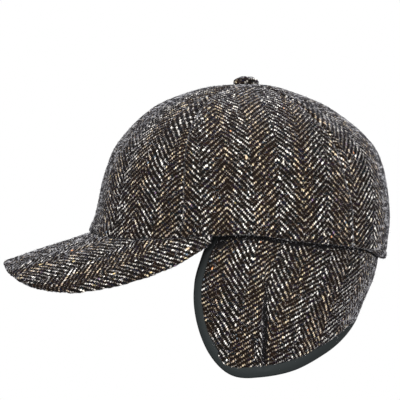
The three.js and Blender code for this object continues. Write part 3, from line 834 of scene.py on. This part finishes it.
# The free edge from inside the hem before the ear, round under the ear to the nape: azimuth, height in mm
FLAP_EDGE = np.array([
    (79, 11.5), (77.3, 4.4), (72.5, -14), (69.4, -34.4), (70.4, -57), (75.2, -79.5), (83.8, -93.8),
    (96.5, -95.3), (118, -91), (140, -80.1), (154, -72.3), (168, -64.6), (180, -59), (192, -64.6),
])
CHIN_ROW = 5.6
NAPE_ROW = len(FLAP_EDGE) - 2
# The binding's width on the outside at rows of the free edge
BINDING_WIDTH = np.array([
    (0, 4), (1.3, 4.2), (2.5, 5.6), (4, 6.6), (7, 8.2), (9, 8), (10.3, 6.6), (11.2, 4.4),
    (12, 3.2), (13, 3.2),
])
FLAP_FIRST_YARN = 86 * COLUMN + 20
FLAP_FIRST_PICK = 400
LAID_FLAT = 60 * MM  # the height of the strip that is laid flat to find the grain
EASE_FROM = -20 * MM
EASE = 1.3  # how much of the width is eased away for each metre further down
DART_TAKES = 0.094  # yarns that the dart takes up for each millimetre down from its top
DART_TAKES_FROM = -12 * MM
RAGGED, RAGGED_LENGTH = 0.3, 5  # how unevenly the painted shade ends


def dart_fade(height):
    foot = soft_step((height - DART_FOOT_Z) / FOOT_FADES)
    return soft_step((DART_TOP_Z - height) / DART_FADES) * foot


def tuck_fade(height):
    foot = soft_step((height - DART_FOOT_Z) / FOOT_FADES)
    return soft_step((TUCK[-1, 0] - height) / TUCK_FADES) * foot


def from_tuck(x, height):
    return x - DART_X + np.interp(height, *TUCK.T)


def flap_surface(place, inset):
    """Points of the earflap at azimuths and heights, set in from its outside."""
    azimuth, height = place[..., 0], place[..., 1]
    level = row_where(BODY, height)
    x = body_point(azimuth, level)[..., 0]
    cleft = DART_DEPTH * np.exp(-(((x - DART_X) / DART_WIDTH) ** 2))
    hollow = DART_HOLLOW * np.exp(-(((x - DART_X) / DART_HOLLOW_WIDTH) ** 2))
    tuck = TUCK_DEPTH * np.exp(-((from_tuck(x, height) / TUCK_WIDTH) ** 2))
    fold = dart_fade(height) * (cleft + hollow) + tuck_fade(height) * tuck
    folded = np.where(azimuth > 180, 360 - azimuth, azimuth)
    slot_depth, slot_height = (MM * np.interp(folded, SLOT[:, 0], SLOT[:, i]) for i in (1, 2))
    above_edge = height - hem_height(azimuth)
    comes_out_from, comes_out_over = 2 * MM, 6 * MM
    drawn_in = 1 - soft_step((above_edge - comes_out_from) / comes_out_over)
    drawn_in *= soft_step(above_edge / slot_height + 1)
    return set_in(azimuth, level, HEM_WALL + FLAP_BEHIND_HEM + fold + slot_depth * drawn_in + inset)


def inside_edge(row, distance):
    """The azimuth and height that lie a distance in from the earflap's free edge."""
    step = 0.05
    azimuth, height = np.moveaxis(smooth(FLAP_EDGE, row) * (1, MM), -1, 0)
    onward = smooth(FLAP_EDGE, row + step) - smooth(FLAP_EDGE, row - step)
    turn, rise = np.moveaxis(onward * (1, MM), -1, 0)
    round_it, up_it = body_steps(azimuth, row_where(BODY, height))
    per_degree = length_of(round_it)
    per_height = length_of(up_it) / np.abs(up_it[..., 2])
    run = np.hypot(turn * per_degree, rise * per_height)
    aside = azimuth - rise * per_height / run * distance / per_degree
    above = height + turn * per_degree / run * distance / per_height
    return np.stack([aside, above], -1)


def flap_place(across, down):
    """Azimuth and height in the patch between the earflap's root, front edge, lower edge and nape."""
    edge_inset = TAPE + FLAP_CLOTH / 2 + FOLD_GAP
    side = np.where(across > 1, 2 - across, across)
    front_azimuth = inside_edge(np.zeros(1), edge_inset)[0, 0]

    def root(share):
        azimuth = front_azimuth + (180 - front_azimuth) * share
        return np.stack([azimuth, hem_height(azimuth) + FLAP_TUCK], -1)

    def lower(share):
        return inside_edge(CHIN_ROW + (NAPE_ROW - CHIN_ROW) * share, edge_inset)

    def mix(first, second, share):
        return first + (second - first) * share[..., None]

    ones, zeros = np.ones_like(side), np.zeros_like(side)
    front = inside_edge(CHIN_ROW * down, edge_inset)
    nape = mix(root(ones), lower(ones), down)
    corners = mix(mix(root(zeros), root(ones), side), mix(lower(zeros), lower(ones), side), down)
    place = mix(root(side), lower(side), down) + mix(front, nape, side) - corners
    place[..., 0] = np.where(across > 1, 360 - place[..., 0], place[..., 0])
    return place


# Columns from the left front edge to the right one, closer together at the darts, and rows from the
# lower edge up to the root, closer at the hem, and down again inside
DART_FROM, DART_TO = 0.18, 0.27  # as shares of the way from the front edge to the nape
HEM_TO = 0.15  # as a share of the way from the root to the lower edge
COLUMNS_BEFORE, COLUMNS_AT_DART, COLUMNS_BEHIND = 40, 50, 158
ROWS_BELOW, ROWS_AT_HEM, ROWS_INSIDE = 100, 32, 24
half_across = np.concatenate([
    np.linspace(0, DART_FROM, COLUMNS_BEFORE)[:-1],
    np.linspace(DART_FROM, DART_TO, COLUMNS_AT_DART),
    np.linspace(DART_TO, 1, COLUMNS_BEHIND)[1:]])
across = np.concatenate([half_across, 2 - half_across[-2::-1]])[None, :]
outer_down = np.concatenate([
    np.linspace(1, HEM_TO, ROWS_BELOW), np.linspace(HEM_TO, 0, ROWS_AT_HEM)[1:]])
down = np.concatenate([outer_down, np.linspace(0, 1, ROWS_INSIDE)])[:, None]
face = np.arange(len(down)) < len(outer_down)
place = flap_place(across + 0 * down, down + 0 * across)
inset = np.where(face, 0, FLAP_CLOTH)[:, None] + 0 * across
surface = flap_surface(place, inset)

# The cloth is thinner beneath the binding
down_there, side = down + 0 * across, np.minimum(across, 2 - across) + 0 * down
from_ends = [np.cumsum(length_of(np.diff(points, axis=1, prepend=points[:, :1])), axis=1)
             for points in (surface, surface[:, ::-1])]
from_front = np.minimum(from_ends[0], from_ends[1][:, ::-1])
from_below = np.cumsum(length_of(np.diff(surface, axis=0, prepend=surface[:1])), axis=0)
below = from_below < from_front
edge_row = np.where(below, CHIN_ROW + (NAPE_ROW - CHIN_ROW) * side, CHIN_ROW * down_there)
covered = MM * smooth(BINDING_WIDTH, row_where(BINDING_WIDTH, edge_row))[..., 1]
covered -= TAPE + FLAP_CLOTH / 2 + FOLD_GAP
to_press = covered + PRESSED_BEYOND - np.minimum(from_below, from_front)
press = PRESSED * soft_step(to_press / PRESSED_OVER)
puff = SWELL * swell(place * (1, 1 / MM), 30, seed=41)
surface = flap_surface(place, inset + (press - puff) * face[:, None])

# The cut's grain, from a strip below the hem laid flat from the nape forward
fan = np.linspace(180, 60, 121)
upper_line = flap_surface(np.stack([fan, 0 * fan], -1), 0 * fan)
lower_line = flap_surface(np.stack([fan, 0 * fan - LAID_FLAT], -1), 0 * fan)
flat_upper, flat_lower = lay_flat(upper_line, lower_line)
azimuth, height = place[..., 0], place[..., 1]
folded = np.where(azimuth > 180, 360 - azimuth, azimuth)
upper_at, lower_at = (np.stack([np.interp(folded, fan[::-1], flat[::-1, i]) for i in (0, 1)], -1)
                      for flat in (flat_upper, flat_lower))
laid = (upper_at + (lower_at - upper_at) * (-height / LAID_FLAT)[..., None]) / YARN
from_nape = np.abs(laid[..., 0]) * (1 - EASE * (EASE_FROM - height))
flap_x = body_point(azimuth, row_where(BODY, height))[..., 0]
from_dart = flap_x - DART_X
into_dart = DART_SIDE / YARN * dart_fade(height) * np.exp(-np.abs(from_dart) / DART_WIDTH)
taken = DART_TAKES * np.maximum(DART_TAKES_FROM - height, 0) / MM
from_nape += np.where(from_dart > 0, into_dart, taken - into_dart)
from_nape *= np.where(azimuth > 180, 1, -1)
flap_yarns = np.stack([from_nape + FLAP_FIRST_YARN, FLAP_FIRST_PICK - laid[..., 1]], -1)
flap_yarns = hand_woven(flap_yarns, seed=51)
surface[face] = raise_weave(surface, flap_yarns, RELIEF)[face]

# Painted shade: the near-black lining cloth is put on the outside in the slot under the hem and along the
# dart and the tuck, where shade falls
painted_shade_height = MM * np.interp(folded, SLOT[:, 0], SLOT[:, 3])
painted_shade_height = painted_shade_height * (1 + RAGGED * swell(place * (1, 0), RAGGED_LENGTH, seed=45))
shaded_slot = height > hem_height(azimuth) - painted_shade_height
ragged = dart_fade(height) * (1 + RAGGED * swell(place * (30, 1 / MM), RAGGED_LENGTH, seed=43))
shaded_seams = (from_dart > DART_SHADE_EDGES[0] * ragged) & (from_dart < DART_SHADE_EDGES[1] * ragged)
shaded_seams |= np.abs(from_tuck(flap_x, height)) < TUCK_SHADE_LINE * tuck_fade(height)
painted_shade_faces = shaded_slot | shaded_seams
earflap = sew("earflap_band", surface, flap_yarns, [tweed, lining_and_painted_shade], painted_shade_faces[:, :-1] | ~face[:, None])
faces_of_tweed.append((surface[face], 1))
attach(earflap, "root")
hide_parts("earflap")

# Binding: a smooth slate tape folded in half round the earflap's whole free edge, from one temple to the
# other. It is turned under and sewn through all layers.
TAPE_BELOW_HEM = 0.6 * MM
TAPE_PRESSED = 0.5 * MM  # how far its outer edge is sewn down into the tweed
TAPE_PUFF = 0.3 * MM
TAPE_COLUMNS = 210  # to the nape
TAPE_ROWS, TAPE_ROWS_ROUND_FOLD = 8, 15
TOP_AZIMUTH, TOP_ROWS = 77.3, 3  # where its end is looked for, on the free edge's first rows
SLATES = [(0.0041, 0.0060, 0.0062, 1), (0.0099, 0.0132, 0.0137, 1)]
END_SHADE = (0.25, 0.25, 0.27, 1)
END_SHADE_TO = (8.0, 36.0)  # yarns from its end, full shade up to the first and none past the second

fold_radius = TAPE + FOLD_GAP + (FLAP_CLOTH - PRESSED) / 2
fold_middle = (FLAP_CLOTH + PRESSED) / 2
top_rows = np.linspace(0, TOP_ROWS, 601)
drop = -MM * smooth(FLAP_EDGE, top_rows)[:, 1]
start = np.interp(float(TAPE_BELOW_HEM - hem_height(np.array(TOP_AZIMUTH))), drop, top_rows)
along_edge = np.linspace(start, NAPE_ROW, TAPE_COLUMNS)
edge_rows = np.concatenate([along_edge, along_edge[-2::-1]])[None, :]
mirrored = np.arange(edge_rows.size)[None, :] >= len(along_edge)
width = MM * smooth(BINDING_WIDTH, row_where(BINDING_WIDTH, edge_rows))[..., 1]
leg_share = np.linspace(0, 1, TAPE_ROWS + 1)[:-1, None]
turns = np.linspace(0, np.pi, TAPE_ROWS_ROUND_FOLD)[:, None]


def tape_layer(radius, pressed):
    """One face of the tape, from its edge on the outside round the fold to its edge on the inside."""
    puff = TAPE_PUFF * np.sin(np.pi * leg_share) - pressed * (1 - leg_share) ** 2
    fold_at = fold_radius - radius * np.sin(turns) + 0 * edge_rows
    leg_at = width + (fold_radius - width) * leg_share
    distance = np.vstack([leg_at, fold_at, leg_at[::-1]])
    inset = np.vstack([
        fold_middle - radius - puff + 0 * edge_rows,
        fold_middle - radius * np.cos(turns) + 0 * edge_rows,
        fold_middle + radius + puff[::-1] + 0 * edge_rows])
    place = inside_edge(edge_rows + 0 * distance, distance)
    place[..., 0] = np.where(mirrored, 360 - place[..., 0], place[..., 0])
    return flap_surface(place, inset)


outer, inner = tape_layer(fold_radius, TAPE_PRESSED), tape_layer(fold_radius - TAPE, 0)
surface = np.vstack([outer[::-1], inner])
run = run_along(outer[len(leg_share)])[None, :]
over = np.cumsum(length_of(np.diff(surface, axis=0, prepend=surface[:1])), axis=0)
tape_yarns = np.stack([run + 0 * over, over], -1) / YARN

tape_cloth, tape_tree, tape_surface = new_finish("Binding tape", roughness=0.75, specular=0.2)
tape_map = node_in(tape_tree, "UVMap", uv_map="Yarns").outputs[0]
tape_threads = fine_noise(tape_tree, tape_map, 2.5).outputs[0]
tape_shade = mix_colour(tape_tree, tape_threads, *SLATES)
# Its ends lie in the shade of the hem
tape_along = node_in(tape_tree, "SeparateXYZ", tape_map).outputs[0]
half_run = float(run[0, -1]) / YARN / 2
from_end = ramp_up(tape_tree, calc(tape_tree, "PINGPONG", tape_along, half_run), *END_SHADE_TO)
end_shade = mix_colour(tape_tree, from_end, END_SHADE, WHITE)
tape_shade = mix_colour(tape_tree, 1.0, tape_shade, end_shade, "MULTIPLY")
tape_tree.links.new(tape_shade, tape_surface.inputs["Base Color"])
add_bump(tape_tree, tape_surface, tape_threads, distance=0.08 * MM)
binding = sew("edge_binding", surface, tape_yarns, [tape_cloth], False)
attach(binding, "root")
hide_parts("flap_binding")

# Fuzz: short loose hairs of the wool stand up all over the tweed and soften its outline. Each is a thin
# spike with a little triangle for a foot.
HAIR_LENGTH = (0.6 * MM, 1.8 * MM)
HAIR_WIDTH = 0.14 * MM
HAIR_LEAN = (0.5, 1.35)  # from upright, in radians
HAIRS = {"crown": 17000, "peak": 6500, "earflap": 7500}
HAIR_GREYS = [(0.022, 0.02, 0.026, 1), (0.78, 0.76, 0.80, 1)]
LIGHT_HAIRS = (0.5, 0.85)  # dark up to the first part of all hairs and light past the second

wool_hairs, hair_tree, hair_surface = new_finish("Wool hairs", roughness=0.8, specular=0.2)
hair_map = node_in(hair_tree, "UVMap", uv_map="Yarns").outputs[0]
hair_key = node_in(hair_tree, "TexWhiteNoise", hair_map, noise_dimensions="2D").outputs[0]
light_hair = ramp_up(hair_tree, hair_key, *LIGHT_HAIRS)
hair_shade = mix_colour(hair_tree, light_hair, *HAIR_GREYS)
hair_tree.links.new(hair_shade, hair_surface.inputs["Base Color"])

draw = np.random.default_rng(77)
hairy = {"crown": faces_of_tweed[:6], "peak": faces_of_tweed[6:7], "earflap": faces_of_tweed[7:]}
for part, cloths in hairy.items():
    corner, sides, normal, area = [], [], [], []
    for cloth_surface, turn in cloths:
        first = cloth_surface[:-1, :-1].reshape(-1, 3)
        one = cloth_surface[:-1, 1:].reshape(-1, 3) - first
        other = cloth_surface[1:, :-1].reshape(-1, 3) - first
        cross = np.cross(one, other) * turn
        corner.append(first)
        sides.append(np.stack([one, other], 1))
        normal.append(cross)
        area.append(length_of(cross))
    corner, sides, normal, area = (np.concatenate(values) for values in (corner, sides, normal, area))
    chosen = draw.choice(len(area), HAIRS[part], p=area / area.sum())
    count = len(chosen)
    root = corner[chosen] + (sides[chosen] * draw.random((count, 2, 1))).sum(axis=1)
    upright = normal[chosen] / area[chosen, None]
    lean = draw.uniform(*HAIR_LEAN, (count, 1))
    flat = np.cross(upright, draw.normal(size=(count, 3)))
    flat /= length_of(flat)[:, None]
    axis = upright * np.cos(lean) + flat * np.sin(lean)
    aside = np.cross(axis, upright)
    aside /= length_of(aside)[:, None]
    beside = np.cross(axis, aside)
    tip = root + axis * draw.uniform(*HAIR_LENGTH, (count, 1))
    foot = [root + HAIR_WIDTH / 2 * (math.cos(angle) * aside + math.sin(angle) * beside)
            for angle in (0, 2 * math.pi / 3, 4 * math.pi / 3)]
    spikes = np.stack([*foot, tip], axis=1).reshape(-1, 3)
    pattern = np.array([(0, 1, 3), (1, 2, 3), (2, 0, 3), (2, 1, 0)])
    faces = (pattern + 4 * np.arange(count)[:, None, None]).reshape(-1, 3)
    mesh = bpy.data.meshes.new(f"fuzz_{part}")
    mesh.from_pydata(spikes.tolist(), [], faces.tolist())
    keys = np.repeat(draw.uniform(0, 1000, (count, 2)), pattern.size, axis=0)
    mesh.uv_layers.new(name="Yarns").data.foreach_set("uv", keys.astype(np.float32).ravel())
    # Every hair has a cell of its own in a second map, named OFBake
    cells = math.ceil(math.sqrt(count))
    cell = np.stack([np.arange(count) % cells, np.arange(count) // cells], axis=1)[:, None, :]
    spots = np.array([(0.1, 0.1), (0.9, 0.1), (0.5, 0.9), (0.5, 0.4)])[pattern.ravel()]
    own_places = ((cell + spots[None]) / cells).reshape(-1, 2)
    mesh.uv_layers.new(name="OFBake").data.foreach_set("uv", own_places.astype(np.float32).ravel())
    mesh.materials.append(wool_hairs)
    fuzz = bpy.data.objects.new(f"fuzz_{part}", mesh)
    bpy.context.scene.collection.objects.link(fuzz)
    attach(fuzz, "root")

# Studio: a wide white floor far below the cap, which hangs as a head would hold it, two large soft lamps
# and an even white surround. The floor is lit up to white for the camera alone.
FLOOR_Z = -4.2
FLOOR_SIZE = 14.0
FLOOR_PAINT = (0.85, 0.85, 0.85, 1)
SURROUND_LIGHT = 0.63  # the backdrop shows white but lights the cap less than its lamps do
# Its lamps: name, place, size, power
LAMPS = [
    ("lamp_above", (-0.35, -1.1, 1.25), 1.2, 31),
    ("lamp_front", (0.55, -1.8, 0.15), 1.2, 50),
]

bpy.ops.object.select_all(action="DESELECT")
bpy.ops.mesh.primitive_plane_add(size=FLOOR_SIZE, location=(0, 0, FLOOR_Z))
floor = bpy.context.object
floor.name = "studio_floor"
paint, paint_tree, paint_surface = new_finish("White floor", roughness=0.9, specular=0.5)
paint_surface.inputs["Base Color"].default_value = FLOOR_PAINT
paint_surface.inputs["Emission Color"].default_value = WHITE
floor_seen = node_in(paint_tree, "LightPath").outputs["Is Camera Ray"]
paint_tree.links.new(floor_seen, paint_surface.inputs["Emission Strength"])
floor.data.materials.append(paint)

world = bpy.data.worlds.new("Studio")
bpy.context.scene.world = world
world.use_nodes = True
world_tree = world.node_tree
surround = world_tree.nodes["Background"]
surround.inputs["Color"].default_value = WHITE
surround_seen = node_in(world_tree, "LightPath").outputs["Is Camera Ray"]
glow_to_camera = calc(world_tree, "MULTIPLY", surround_seen, 1 - SURROUND_LIGHT)
glow = calc(world_tree, "ADD", SURROUND_LIGHT, glow_to_camera)
world_tree.links.new(glow, surround.inputs["Strength"])
bpy.context.scene.view_settings.view_transform = "Standard"

for name, place, size, power in LAMPS:
    data = bpy.data.lights.new(name, "AREA")
    data.size = size
    data.energy = power
    lamp = bpy.data.objects.new(name, data)
    bpy.context.scene.collection.objects.link(lamp)
    lamp.location = place
    lamp.rotation_euler = (-lamp.location).to_track_quat("-Z", "Y").to_euler()
